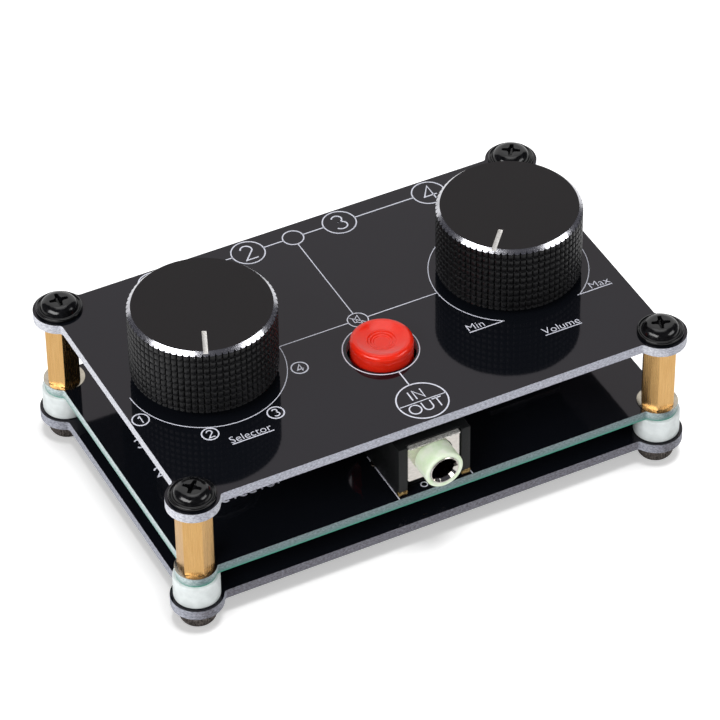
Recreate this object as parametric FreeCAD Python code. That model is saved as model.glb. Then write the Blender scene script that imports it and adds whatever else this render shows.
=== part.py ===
"""Passive desktop speaker selector: three stacked circuit boards, two knobs, one push button
and five 3.5 mm jacks.  Millimetres.  +X to the right, -Y to the front (the single jack),
+Z up, origin on the table under the middle of the boards."""
import FreeCAD
import Part
import math
import os

V = FreeCAD.Vector
UP = V(0, 0, 1)

# ---------------------------------------------------------------- driving dimensions
# boards
board_length = 79.2          # straight edge to straight edge along X
board_depth = 49.2           # straight edge to straight edge along Y
board_thickness = 1.6
screw_inset_x = 1.3          # screw centres from the straight edges
screw_inset_y = 1.5
ear_radius = 4.0             # lobes round the screws, top and bottom boards
main_ear_radius = 3.0        # smaller lobes of the main board
ear_fillet = 0.7

# stack of spacers between the boards
standoff_length = 12.0
standoff_across_flats = 4.8
standoff_end_chamfer = 0.3
spacer_height = 4.0
spacer_radius = 3.5
standoff_turns = {"front_left": 0.0, "front_right": 25.0, "rear_left": 39.0, "rear_right": 10.0}

# M3 screws
thread_radius = 1.45
thread_hole_radius = 1.5
screw_hole_radius = 1.6
foot_head_radius = 2.75
foot_head_height = 3.0
foot_chamfer = 0.45
foot_socket_flats = 2.5
foot_socket_depth = 1.5
foot_thread_length = 12.0
flange_radius = 3.6          # washer flange of the top screws
flange_thickness = 0.6
pan_radius = 2.8
pan_height = 1.15
pan_rounding = 0.7
cross_width = 0.7
cross_reach = 1.5
cross_depth = 1.0
cross_turn = 45.0            # between the cross and the spacer below it
top_thread_length = 6.0

# knobs and their shafts
knob_spacing = 50.6
knob_radius = 11.0
knob_height = 11.8
selector_knob_gap = 1.35     # between the top board and the knob, which is pushed on by hand
volume_knob_gap = 0.6
knob_chamfer = 0.6
knob_recess_radius = 4.0     # clears the bush
knob_recess_depth = 2.2
knob_roof = 2.6              # metal left above the shaft
pointer_width = 0.55
pointer_depth = 0.3
pointer_start = 6.0
selector_pointer_angle = 247.5
volume_pointer_angle = 229.0
shaft_radius = 3.0
shaft_fit = 0.02             # between the shaft and what is fixed on it
running_gap = 0.05           # between the shaft and its bush
inner_gap = 0.3              # between moving and fixed pieces inside a component
grub_radius = 1.5
grub_length = 4.0
grub_height = 4.5
grub_socket_flats = 1.5
grub_fit = 0.02

# bush and front plate, alike on the selector and the volume control
bush_radius = 3.5
bush_length = 6.2
bush_hole_gap = 0.25         # round the bush in the top board
front_plate_thickness = 1.0

# rotary selector
selector_can_radius = 8.0
selector_can_height = 8.0
can_wall = 0.6
stator_thickness = 1.4
rotor_radius = 5.2
rotor_thickness = 5.4
detent_steps = 8             # notches round the inside of the can, 45 degrees apart
detent_ring_width = 1.4
detent_ring_height = 2.4
notch_radius = 0.9
ball_radius = 0.8
ball_spring_radius = 0.6
throw_count = 4
throw_step = 45.0
throw_circle = 4.0
stud_radius = 0.6
stud_height = 0.3
bridge_thickness = 0.25
bridge_width = 1.6

# volume control
pot_side = 12.0
pot_wall = 0.8
wafer_thickness = 0.8
wafer_spacing = 3.0
wiper_disc_radius = 4.4
wiper_disc_thickness = 1.0
wiper_length = 2.4
wiper_width = 0.9
wiper_thickness = 0.25
gang_pins = 3

# push switch and its button
button_radius = 4.75
button_gap = 0.5             # round the cap in the top board
button_rise = 2.3            # rim of the cap above the top board
button_height = 4.4
button_edge = 0.75
button_dish_radius = 4.0
button_dish_depth = 0.35
button_well_radius = 2.2
button_well_depth = 0.25
button_travel = 2.0
switch_side = 8.4
switch_gap = 0.3             # between the switch and the front jack
switch_height = 7.4
switch_wall = 0.8
switch_pin_spacing = 2.2
plunger_side = 3.2
plunger_collar = 4.6
plunger_collar_height = 1.0
plunger_fit = 0.02
plunger_gap = 0.08
slider_thickness = 0.2
slider_height = 1.5
spring_wire = 0.3
spring_radius = 1.9
spring_turns = 4

# 3.5 mm jacks
jack_axis_height = 5.5       # above the main board
jack_overhang = 2.8          # mouth of the barrel beyond the boards' straight edge
barrel_radius = 3.05
barrel_length = 3.6
barrel_root = 1.6            # stretch held inside the housing
sleeve_radius = 2.3
sleeve_wall = 0.5
sleeve_length = 6.5
mouth_chamfer = 0.2
plate_width = 8.2
plate_height = 6.8
plate_thickness = 0.3
plate_fit = 0.05
jack_width = 11.8
jack_depth = 11.5
jack_height = 9.2
jack_wall = 1.2
jack_front_wall = 2.0
jack_post_width = 1.45
jack_post_depth = 0.7
anchor_height = 0.9
leaf_thickness = 0.3
leaf_height = 2.4
leaf_gap = 0.15              # between a resting leaf and the plug's path
tip_leaf_share = 0.75        # where along the cavity the tip and ring leaves bend in
ring_leaf_share = 0.45
rear_jack_spacing = 15.4

# solder pins
pin_width = 0.7
pin_thickness = 0.3
pin_hole_gap = 0.15
pin_tail = 1.5               # below the main board

# ---------------------------------------------------------------- levels and places
bottom_z = foot_head_height
spacer_z = bottom_z + board_thickness
main_z = spacer_z + spacer_height
deck_z = main_z + board_thickness
top_z = deck_z + standoff_length
panel_z = top_z + board_thickness
selector_knob_z = panel_z + selector_knob_gap
volume_knob_z = panel_z + volume_knob_gap
plate_z = deck_z + selector_can_height
knob_x = knob_spacing / 2
screw_x = board_length / 2 - screw_inset_x
screw_y = board_depth / 2 - screw_inset_y
button_top_z = panel_z + button_rise
jack_axis_z = deck_z + jack_axis_height
jack_reach = board_depth / 2 + jack_overhang
plate_face = jack_reach - barrel_length
button_y = -(plate_face - plate_thickness - jack_depth - switch_gap - switch_side / 2)
pin_hole_radius = math.hypot(pin_width, pin_thickness) / 2 + pin_hole_gap

corners = {"front_left": (-1, -1), "front_right": (1, -1), "rear_left": (-1, 1), "rear_right": (1, 1)}
jacks = {"input": (0.0, 1)}
for place in range(4):
    jacks["output_%d" % (place + 1)] = ((place - 1.5) * rear_jack_spacing, -1)

nodes = {}


# ---------------------------------------------------------------- helpers
def cylinder(radius, height, x=0.0, y=0.0, z=0.0):
    return Part.makeCylinder(radius, height, V(x, y, z))


def tube(outer, inner, height, x=0.0, y=0.0, z=0.0):
    return cylinder(outer, height, x, y, z).cut(cylinder(inner, height, x, y, z))


def block(size_x, size_y, size_z, x=0.0, y=0.0, z=0.0):
    """Box with its bottom face centred on x, y at height z."""
    return Part.makeBox(size_x, size_y, size_z, V(x - size_x / 2, y - size_y / 2, z))


def span(x0, x1, y0, y1, z0, z1):
    """Box between two corners."""
    return Part.makeBox(x1 - x0, y1 - y0, z1 - z0, V(x0, y0, z0))


def hexagon(across_flats, height, x=0.0, y=0.0, z=0.0, turn=0.0):
    """Hexagonal prism; turn is the direction of one flat's normal in degrees."""
    corner = across_flats / math.sqrt(3)
    angles = [math.radians(turn + 30 + 60 * side) for side in range(7)]
    points = [V(x + corner * math.cos(a), y + corner * math.sin(a), z) for a in angles]
    return Part.Face(Part.makePolygon(points)).extrude(V(0, 0, height))


def lying_tube(outer, inner, y0, y1, z, chamfer=0.0):
    """Tube along Y from y0 (its mouth) to y1, with a countersunk mouth."""
    shape = Part.makeCylinder(outer, y1 - y0, V(0, y0, z), V(0, 1, 0))
    shape = shape.cut(Part.makeCylinder(inner, y1 - y0, V(0, y0, z), V(0, 1, 0)))
    if chamfer:
        shape = shape.cut(Part.makeCone(inner + chamfer, inner, chamfer, V(0, y0, z), V(0, 1, 0)))
    return shape


def turned(shape, angle, x=0.0, y=0.0):
    shape = shape.copy()
    shape.rotate(V(x, y, 0), UP, angle)
    return shape


def moved(shape, x, y=0.0, z=0.0):
    shape = shape.copy()
    shape.translate(V(x, y, z))
    return shape


def round_edges(shape, radius, wanted):
    """Fillet the edges for which wanted(edge) is true."""
    return shape.makeFillet(radius, [edge for edge in shape.Edges if wanted(edge)])


def circle_at(edge, radius, z):
    """True for a full circle of that radius at height z."""
    curve = edge.Curve
    if not isinstance(curve, Part.Circle):
        return False
    return abs(curve.Radius - radius) < 1e-4 and abs(curve.Center.z - z) < 1e-4


def add(name, *solids):
    """Record one sub-part made of one or more separate solids."""
    flat = []
    for solid in solids:
        flat.extend(solid.Solids)
    nodes[name] = flat[0] if len(flat) == 1 else Part.makeCompound(flat)


def pin(x, y, top, turn=0.0):
    """Solder pin from a component at height top down through the main board."""
    low = main_z - pin_tail
    return turned(block(pin_width, pin_thickness, top - low, x, y, low), turn, x, y)


def screw_places():
    for corner, (side_x, side_y) in corners.items():
        yield corner, side_x * screw_x, side_y * screw_y


# ---------------------------------------------------------------- boards
def board(lobe_radius, z):
    """Rectangular board with a round lobe at each screw, blended into the straight edges."""
    shape = block(board_length, board_depth, board_thickness, 0, 0, z)
    for _, x, y in screw_places():
        shape = shape.fuse(cylinder(lobe_radius, board_thickness, x, y, z))
    shape = shape.removeSplitter()

    def inner_corner(edge):
        first, last = edge.Vertexes[0].Point, edge.Vertexes[-1].Point
        upright = abs(first.x - last.x) < 1e-6 and abs(first.y - last.y) < 1e-6
        on_side = abs(abs(first.x) - board_length / 2) < 1e-6
        on_front = abs(abs(first.y) - board_depth / 2) < 1e-6
        return upright and (on_side or on_front)

    shape = round_edges(shape, ear_fillet, inner_corner)
    for _, x, y in screw_places():
        shape = shape.cut(cylinder(screw_hole_radius, board_thickness, x, y, z))
    return shape


def top_panel():
    shape = board(ear_radius, top_z)
    for x in (-knob_x, knob_x):
        shape = shape.cut(cylinder(bush_radius + bush_hole_gap, board_thickness, x, 0, top_z))
    return shape.cut(cylinder(button_radius + button_gap, board_thickness, 0, button_y, top_z))


def main_board(pin_places):
    shape = board(main_ear_radius, main_z)
    holes = [cylinder(pin_hole_radius, board_thickness, x, y, main_z) for x, y in pin_places]
    return shape.cut(holes)


# ---------------------------------------------------------------- spacers and screws
def standoff(x, y, turn):
    """Hexagonal brass spacer, turned down at both ends, threaded right through."""
    corner = standoff_across_flats / math.sqrt(3)
    limit = cylinder(corner, standoff_length, x, y, deck_z)
    limit = limit.makeChamfer(standoff_end_chamfer, [e for e in limit.Edges
                                                     if circle_at(e, corner, deck_z)
                                                     or circle_at(e, corner, top_z)])
    shape = hexagon(standoff_across_flats, standoff_length, x, y, deck_z, turn).common(limit)
    return shape.cut(cylinder(thread_hole_radius, standoff_length, x, y, deck_z))


def foot_screw(x, y):
    """Socket head screw from below: its head is the foot."""
    head = cylinder(foot_head_radius, foot_head_height, x, y, 0)
    head = head.makeChamfer(foot_chamfer, [e for e in head.Edges if circle_at(e, foot_head_radius, 0)])
    head = head.cut(hexagon(foot_socket_flats, foot_socket_depth, x, y, 0))
    return head.fuse(cylinder(thread_radius, foot_thread_length, x, y, bottom_z)).removeSplitter()


def top_screw(x, y, turn):
    """Pan head screw with a washer flange and a cross recess."""
    pan_z = panel_z + flange_thickness
    pan = cylinder(pan_radius, pan_height, x, y, pan_z)
    pan = round_edges(pan, pan_rounding, lambda e: circle_at(e, pan_radius, pan_z + pan_height))
    shape = pan.fuse(cylinder(flange_radius, flange_thickness, x, y, panel_z))
    shape = shape.fuse(cylinder(thread_radius, top_thread_length, x, y, panel_z - top_thread_length))
    recess_z = pan_z + pan_height - cross_depth
    for quarter in (0, 90):
        slot = block(2 * cross_reach, cross_width, cross_depth, x, y, recess_z)
        shape = shape.cut(turned(slot, turn + quarter, x, y))
    return shape.removeSplitter()


# ---------------------------------------------------------------- knobs
def knob(x, knob_z, pointer_angle):
    """Turned knob: blind shaft bore, bush recess, grub hole and a pointer cut at the rim."""
    top = knob_z + knob_height
    shape = cylinder(knob_radius, knob_height, x, 0, knob_z)
    shape = shape.makeChamfer(knob_chamfer, [e for e in shape.Edges if circle_at(e, knob_radius, top)])
    shape = shape.cut(cylinder(shaft_radius + shaft_fit, knob_height - knob_roof, x, 0, knob_z))
    shape = shape.cut(cylinder(knob_recess_radius, knob_recess_depth, x, 0, knob_z))
    slot = span(x + pointer_start, x + knob_radius, -pointer_width / 2, pointer_width / 2,
                top - pointer_depth, top)
    hole = Part.makeCylinder(grub_radius + grub_fit, knob_radius, V(x, 0, knob_z + grub_height), V(-1, 0, 0))
    return shape.cut(turned(slot, pointer_angle, x)).cut(turned(hole, pointer_angle, x))


def grub_screw(x, knob_z, pointer_angle):
    start = shaft_radius + shaft_fit
    shape = Part.makeCylinder(grub_radius, grub_length, V(x - start, 0, knob_z + grub_height), V(-1, 0, 0))
    socket = hexagon(grub_socket_flats, grub_length / 2)
    socket.rotate(V(0, 0, 0), V(0, 1, 0), -90)
    socket.translate(V(x - start - grub_length / 2, 0, knob_z + grub_height))
    return turned(shape.cut(socket), pointer_angle, x)


def shaft(x, foot_z, knob_z):
    top = knob_z + knob_height - knob_roof - inner_gap
    return cylinder(shaft_radius, top - foot_z, x, 0, foot_z)


def bushed_plate(plate, x, z):
    """Front plate of a component with the bush that guides its shaft."""
    shape = plate.fuse(cylinder(bush_radius, bush_length, x, 0, z + front_plate_thickness))
    bore = cylinder(shaft_radius + running_gap, front_plate_thickness + bush_length, x, 0, z)
    return shape.cut(bore).removeSplitter()


# ---------------------------------------------------------------- rotary selector
def add_selector(pin_places):
    """Can, stator with contact studs, rotor with its bridge, ball detent and shaft."""
    x = -knob_x
    floor = deck_z + stator_thickness
    rotor_z = floor + stud_height + running_gap + bridge_thickness
    can_inside = selector_can_radius - can_wall
    ring_inside = can_inside - detent_ring_width
    ball_z = rotor_z + rotor_thickness / 2

    add("selector_can", tube(selector_can_radius, can_inside, plate_z - deck_z, x, 0, deck_z))

    ring = tube(can_inside - shaft_fit, ring_inside, detent_ring_height, x, 0, ball_z - detent_ring_height / 2)
    for step in range(detent_steps):
        notch = cylinder(notch_radius, detent_ring_height, x + ring_inside, 0, ball_z - detent_ring_height / 2)
        ring = ring.cut(turned(notch, selector_pointer_angle + step * 360 / detent_steps, x))
    add("selector_detent_ring", ring)

    plate = cylinder(selector_can_radius, front_plate_thickness, x, 0, plate_z)
    add("selector_front_plate", bushed_plate(plate, x, plate_z))

    stator = cylinder(can_inside - shaft_fit, stator_thickness, x, 0, deck_z)
    studs = []
    for pole in (0, 180):
        for throw in range(throw_count):
            angle = selector_pointer_angle + pole + (throw - 1) * throw_step
            dx, dy = math.cos(math.radians(angle)), math.sin(math.radians(angle))
            pin_places.append((x + throw_circle * dx, throw_circle * dy))
            stud = cylinder(stud_radius, stud_height, x + throw_circle * dx, throw_circle * dy, floor)
            leg = pin(x + throw_circle * dx, throw_circle * dy, floor, angle)
            stator = stator.cut(leg)
            studs.append(stud.fuse(leg).removeSplitter())
    add("selector_stator", stator)
    add("selector_studs", *studs)

    rotor = cylinder(rotor_radius, rotor_thickness, x, 0, rotor_z)
    rotor = rotor.cut(cylinder(shaft_radius + shaft_fit, rotor_thickness, x, 0, rotor_z))
    ball_place = ring_inside - ball_radius - running_gap
    pocket = Part.makeCylinder(ball_radius + running_gap, rotor_radius - shaft_radius - inner_gap,
                               V(x + shaft_radius + inner_gap, 0, ball_z), V(1, 0, 0))
    add("selector_rotor", rotor.cut(turned(pocket, selector_pointer_angle, x)))
    ball = Part.makeSphere(ball_radius, V(x + ball_place, 0, ball_z))
    add("selector_detent_ball", turned(ball, selector_pointer_angle, x))
    spring_start = shaft_radius + inner_gap
    spring = Part.makeCylinder(ball_spring_radius, ball_place - ball_radius - spring_start,
                               V(x + spring_start, 0, ball_z), V(1, 0, 0))
    add("selector_detent_spring", turned(spring, selector_pointer_angle, x))

    bridge = block(2 * throw_circle + bridge_width, bridge_width, bridge_thickness,
                   x, 0, rotor_z - bridge_thickness)
    add("selector_bridge", turned(bridge, selector_pointer_angle, x))
    add("selector_shaft", shaft(x, rotor_z, selector_knob_z))


# ---------------------------------------------------------------- volume control
def add_volume(pin_places):
    """Two-gang rotary control: case, front plate, wafers, wiper discs, wipers and shaft."""
    x = knob_x
    floor = deck_z + pot_wall
    case = block(pot_side, pot_side, plate_z - deck_z, x, 0, deck_z)
    inside = pot_side - 2 * pot_wall
    case = case.cut(block(inside, inside, plate_z - floor, x, 0, floor))
    plate = block(pot_side, pot_side, front_plate_thickness, x, 0, plate_z)
    add("volume_front_plate", bushed_plate(plate, x, plate_z))

    wafer_side = inside - 2 * shaft_fit
    wafers, discs, wipers, legs = [], [], [], []
    for gang in range(2):
        wafer_z = floor + gang * wafer_spacing
        wafer = block(wafer_side, wafer_side, wafer_thickness, x, 0, wafer_z)
        hole = shaft_radius + inner_gap if gang else shaft_radius / 2
        wafer = wafer.cut(cylinder(hole, wafer_thickness, x, 0, wafer_z))
        disc_z = wafer_z + wafer_thickness + wiper_thickness + running_gap
        disc = tube(wiper_disc_radius, shaft_radius + shaft_fit, wiper_disc_thickness, x, 0, disc_z)
        discs.append(disc)
        wiper = block(wiper_width, wiper_length, wiper_thickness,
                      x + (shaft_radius + wiper_disc_radius) / 2, 0, disc_z - wiper_thickness)
        wipers.append(turned(wiper, volume_pointer_angle, x))
        leg_y = -(wafer_side / 2 - pin_thickness)
        for place in range(gang_pins):
            leg_x = x + (2 * place + gang + 0.5 - gang_pins) * wafer_side / (2 * gang_pins + 1)
            leg = pin(leg_x, leg_y, wafer_z + wafer_thickness)
            wafer = wafer.cut(leg)
            case = case.cut(leg)
            if wafers:
                wafers[0] = wafers[0].cut(leg)
            legs.append(leg)
            pin_places.append((leg_x, leg_y))
        wafers.append(wafer)
    add("volume_case", case)
    add("volume_wafers", *wafers)
    add("volume_pins", *legs)
    add("volume_wiper_discs", *discs)
    add("volume_wipers", *wipers)
    add("volume_shaft", shaft(x, floor + wafer_thickness + running_gap, volume_knob_z))


# ---------------------------------------------------------------- push switch and button
def add_push_switch(pin_places):
    """Switch case, sprung plunger, slider contacts, pins and the red cap."""
    y = button_y
    case_top = deck_z + switch_height
    floor = deck_z + switch_wall
    inside = switch_side - 2 * switch_wall
    case = block(switch_side, switch_side, switch_height, 0, y, deck_z)
    case = case.cut(block(inside, inside, switch_height - 2 * switch_wall, 0, y, floor))
    neck = plunger_side + 2 * plunger_gap
    case = case.cut(block(neck, neck, switch_wall, 0, y, case_top - switch_wall))
    legs = []
    row = inside / 2 - 2 * pin_thickness
    for side in (-1, 1):
        for place in (-1, 0, 1):
            leg_y = y + place * switch_pin_spacing
            leg = pin(side * row, leg_y, floor + stud_height, 90)
            case = case.cut(leg)
            legs.append(leg)
            pin_places.append((side * row, leg_y))
    add("switch_case", case)
    add("switch_pins", *legs)

    collar_top = case_top - switch_wall - running_gap
    collar_z = collar_top - plunger_collar_height
    cap_z = button_top_z - button_height
    plunger_top = button_top_z - button_height / 2
    plunger = block(plunger_side, plunger_side, plunger_top - collar_z, 0, y, collar_z)
    plunger = plunger.fuse(block(plunger_collar, plunger_collar, plunger_collar_height, 0, y, collar_z))
    add("switch_plunger", plunger.removeSplitter())
    add("switch_sliders", *[block(slider_thickness, plunger_collar, slider_height,
                                  side * (plunger_collar + slider_thickness) / 2, y,
                                  collar_top - slider_height) for side in (-1, 1)])

    length = collar_z - floor
    coil = Part.makeHelix((length - spring_wire) / spring_turns, length - spring_wire, spring_radius)
    start = V(spring_radius, 0, 0)
    profile = Part.Wire([Part.makeCircle(spring_wire / 2, start, V(0, 1, 0))])
    spring = Part.Wire(coil).makePipeShell([profile], True, True)
    spring = moved(spring, 0, y, floor + spring_wire / 2)
    add("switch_spring", spring)

    cap = cylinder(button_radius, button_height, 0, y, cap_z)
    cap = round_edges(cap, button_edge, lambda e: circle_at(e, button_radius, button_top_z))
    dish_ball = (button_dish_radius ** 2 + button_dish_depth ** 2) / (2 * button_dish_depth)
    cap = cap.cut(Part.makeSphere(dish_ball, V(0, y, button_top_z - button_dish_depth + dish_ball)))
    well_z = button_top_z - button_dish_depth - button_well_depth
    cap = cap.cut(cylinder(button_well_radius, button_dish_depth + button_well_depth, 0, y, well_z))
    socket = plunger_side + 2 * plunger_fit
    cap = cap.cut(block(socket, socket, plunger_top - cap_z, 0, y, cap_z))
    add("button_cap", cap)


# ---------------------------------------------------------------- jacks
def leaf(points, z):
    """Bent strip standing on edge: points are its centre line in plan."""
    edges = []
    for (x0, y0), (x1, y1) in zip(points, points[1:]):
        length = math.hypot(x1 - x0, y1 - y0)
        strip = block(length + leaf_thickness, leaf_thickness, leaf_height, 0, 0, z)
        strip.rotate(V(0, 0, 0), UP, math.degrees(math.atan2(y1 - y0, x1 - x0)))
        strip.translate(V((x0 + x1) / 2, (y0 + y1) / 2, 0))
        edges.append(strip)
    shape = edges[0]
    for strip in edges[1:]:
        shape = shape.fuse(strip)
    return shape.removeSplitter()


def add_jack(name, x, facing, pin_places):
    """One jack, drawn facing the front at x = 0, then turned to face its side of the boards."""
    mouth = -jack_reach
    face = -plate_face
    back = face + plate_thickness
    rear = back + jack_depth
    roof = deck_z + jack_height
    z = jack_axis_z
    half = jack_width / 2

    barrel = lying_tube(barrel_radius, sleeve_radius + plate_fit, mouth, back + barrel_root, z)
    sleeve = lying_tube(sleeve_radius, sleeve_radius - sleeve_wall, mouth, mouth + sleeve_length, z,
                        mouth_chamfer)

    plate = span(-plate_width / 2, plate_width / 2, face, back, z - plate_height / 2, z + plate_height / 2)
    plate = plate.cut(Part.makeCylinder(barrel_radius + plate_fit, plate_thickness, V(0, face, z), V(0, 1, 0)))

    housing = span(-half, half, back, rear, deck_z, roof)
    for side in (-1, 1):
        post_x = side * (half - jack_post_width / 2)
        post = block(jack_post_width, jack_post_depth, jack_height - anchor_height,
                     post_x, back - jack_post_depth / 2, deck_z + anchor_height)
        housing = housing.fuse(post)
    cavity = span(-half + 2 * jack_wall, half - 2 * jack_wall, back + jack_front_wall, rear - jack_wall,
                  deck_z, roof - jack_wall)
    housing = housing.removeSplitter().cut(cavity)
    entry = Part.makeCylinder(barrel_radius + plate_fit, barrel_root + plate_fit, V(0, back, z), V(0, 1, 0))
    way = Part.makeCylinder(sleeve_radius + plate_fit, jack_front_wall, V(0, back, z), V(0, 1, 0))
    # the floor of the housing stops short of the front edge, in line with the plate's foot
    toe = span(-half + jack_post_width, half - jack_post_width, back, back + jack_front_wall / 2,
               deck_z, z - plate_height / 2)
    housing = housing.cut(entry).cut(way).cut(toe)

    path = sleeve_radius - sleeve_wall + leaf_gap + leaf_thickness / 2
    inner_x = half - 2 * jack_wall - leaf_thickness
    first_y = back + jack_front_wall + leaf_thickness
    last_y = rear - jack_wall - leaf_thickness
    leaf_z = z - leaf_height / 2
    sleeve_leg = pin(0, first_y, z - sleeve_radius + sleeve_wall / 2)
    shield = [plate, sleeve.fuse(sleeve_leg).removeSplitter()]
    legs = [(0, first_y)]
    leaves = []
    for side, share in ((-1, ring_leaf_share), (1, tip_leaf_share)):
        bend_y = first_y + share * (last_y - first_y)
        points = [(side * inner_x, first_y), (side * path, bend_y), (side * inner_x, last_y)]
        leg_y = first_y + pin_width / 2
        leg = pin(side * inner_x, leg_y, leaf_z + leaf_thickness, 90)
        leaves.append(leaf(points, leaf_z).fuse(leg).removeSplitter())
        legs.append((side * inner_x, leg_y))
        shield.append(block(jack_post_width, jack_post_depth, anchor_height,
                            side * (half - jack_post_width / 2), back - jack_post_depth / 2, deck_z))

    turn = 0 if facing > 0 else 180
    pieces = {"housing": [housing], "barrel": [barrel], "shield": shield, "leaves": leaves}
    for piece, solids in pieces.items():
        add("%s_jack_%s" % (name, piece), *[moved(turned(solid, turn), x) for solid in solids])
    for leg_x, leg_y in legs:
        pin_places.append((x + facing * leg_x, facing * leg_y))


# ---------------------------------------------------------------- assembly
def build():
    pin_places = []
    add_selector(pin_places)
    add_volume(pin_places)
    add_push_switch(pin_places)
    for name, (x, facing) in jacks.items():
        add_jack(name, x, facing, pin_places)

    add("top_panel", top_panel())
    add("main_board", main_board(pin_places))
    add("bottom_panel", board(ear_radius, bottom_z))
    for corner, x, y in screw_places():
        add("standoff_" + corner, standoff(x, y, standoff_turns[corner]))
    add("nylon_spacers", *[tube(spacer_radius, screw_hole_radius, spacer_height, x, y, spacer_z)
                           for _, x, y in screw_places()])
    add("foot_screws", *[foot_screw(x, y) for _, x, y in screw_places()])
    add("top_screws", *[top_screw(x, y, standoff_turns[corner] + cross_turn) for corner, x, y in screw_places()])
    for name, x, z, angle in (("selector", -knob_x, selector_knob_z, selector_pointer_angle),
                              ("volume", knob_x, volume_knob_z, volume_pointer_angle)):
        add(name + "_knob", knob(x, z, angle))
        add(name + "_grub_screw", grub_screw(x, z, angle))


build()
os.makedirs("parts", exist_ok=True)
for node, shape in nodes.items():
    shape.exportStep("parts/%s.step" % node)
print(len(nodes), "sub-parts")
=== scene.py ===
# %% [markdown]
# # A desktop speaker selector
# Three black circuit boards stand on brass and nylon spacers. Two knurled knobs, a red push
# button and five 3.5 mm jacks sit on them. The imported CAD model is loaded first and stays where
# it is: each new surface below is laid over one of its parts, in the same millimetres.

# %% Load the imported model
import math

import bmesh
import bpy
import numpy as np
from mathutils import Matrix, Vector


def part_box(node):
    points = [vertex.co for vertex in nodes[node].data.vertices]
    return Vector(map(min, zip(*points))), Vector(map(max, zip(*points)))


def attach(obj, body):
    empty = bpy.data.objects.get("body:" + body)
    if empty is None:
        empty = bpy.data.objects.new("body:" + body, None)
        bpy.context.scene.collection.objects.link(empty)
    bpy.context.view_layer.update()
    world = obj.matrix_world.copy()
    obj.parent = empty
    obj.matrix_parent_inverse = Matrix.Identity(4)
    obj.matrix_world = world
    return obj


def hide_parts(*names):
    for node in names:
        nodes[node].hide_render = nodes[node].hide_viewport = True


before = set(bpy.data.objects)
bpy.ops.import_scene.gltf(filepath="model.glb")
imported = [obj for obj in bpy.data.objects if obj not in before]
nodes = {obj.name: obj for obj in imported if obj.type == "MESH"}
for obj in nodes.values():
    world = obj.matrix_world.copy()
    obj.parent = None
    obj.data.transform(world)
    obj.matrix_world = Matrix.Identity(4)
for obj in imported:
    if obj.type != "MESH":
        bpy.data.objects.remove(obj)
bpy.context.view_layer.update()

mm = 0.001

# %% [markdown]
# ## Levels read from the model
# The boards' heights and the knobs' places are measured on the CAD parts themselves, so that
# the new surfaces can't drift away from what carries them.

# %% Measure the boards and knobs
def extent(node):
    """Lowest and highest corner of a CAD part, in millimetres."""
    low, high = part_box(node)
    return np.array(low) / mm, np.array(high) / mm


panel_low, panel_high = extent("top_panel")
deck_low, deck_high = extent("main_board")
panel_z, deck_z, base_z = panel_high[2], deck_high[2], extent("bottom_panel")[0][2]
knob_x = {side: sum(e[0] for e in extent(side + "_knob")) / 2 for side in ("selector", "volume")}
left_knob, right_knob = knob_x.values()
screw_x, screw_y = 38.3, 23.1
corners = {end + "_" + side: (sx * screw_x, sy * screw_y)
           for end, sy in (("front", -1), ("rear", 1)) for side, sx in (("left", -1), ("right", 1))}
print("panel top at", round(panel_z, 2), "mm, deck at", round(deck_z, 2), "mm, knobs at x", knob_x)

# %% [markdown]
# ## Colours and shader nodes
# Colours are written as the hex codes a paint program shows. Blender works in linear light, so
# one function converts them. A second gives a node's sockets their values and links, and a third
# adds a shader node with its settings.

# %% Colour and node helpers
def linear(code):
    """sRGB hex to linear RGBA: c / 12.92 up to 0.04045, above it ((c + 0.055) / 1.055) to the 2.4."""
    channels = np.array([int(code[i:i + 2], 16) for i in (0, 2, 4)]) / 255
    curved = ((channels + 0.055) / 1.055) ** 2.4
    return (*np.where(channels <= 0.04045, channels / 12.92, curved), 1.0)


def set_sockets(node, inputs):
    """Give a node's sockets their values or links. A value that is text is a hex colour."""
    for socket, value in dict(inputs).items():
        if isinstance(value, bpy.types.NodeSocket):
            node.id_data.links.new(value, node.inputs[socket])
        else:
            node.inputs[socket].default_value = linear(value) if isinstance(value, str) else value


def add_node(tree, kind, inputs=(), **settings):
    """Add one shader node. settings go to its properties, inputs to its sockets as values or links."""
    made = tree.nodes.new("ShaderNode" + kind)
    for name, value in settings.items():
        setattr(made, name, value)
    set_sockets(made, inputs)
    return made


print("helpers ready")

# %% [markdown]
# ## One grain per finish
# Moulded plastic, plated steel and cast metal are all slightly uneven: where the grain is high
# they are a little lighter and duller. So most finishes here follow one noise pattern, whose size
# is the real grain's in millimetres, in colour, gloss and relief together. The two finishes that
# don't, a board's edges, painted paler on one pair of sides and darker on the other, and a lathe's
# rings, are written out where they are needed.

# %% Finishes that follow a grain
def bare_finish(name, **sockets):
    """A new material, its node tree and its Principled shader with these sockets set."""
    material = bpy.data.materials.new(name)
    material.use_nodes = True
    shader = material.node_tree.nodes["Principled BSDF"]
    set_sockets(shader, {socket.replace("_", " "): value for socket, value in sockets.items()})
    return material, material.node_tree, shader


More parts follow.
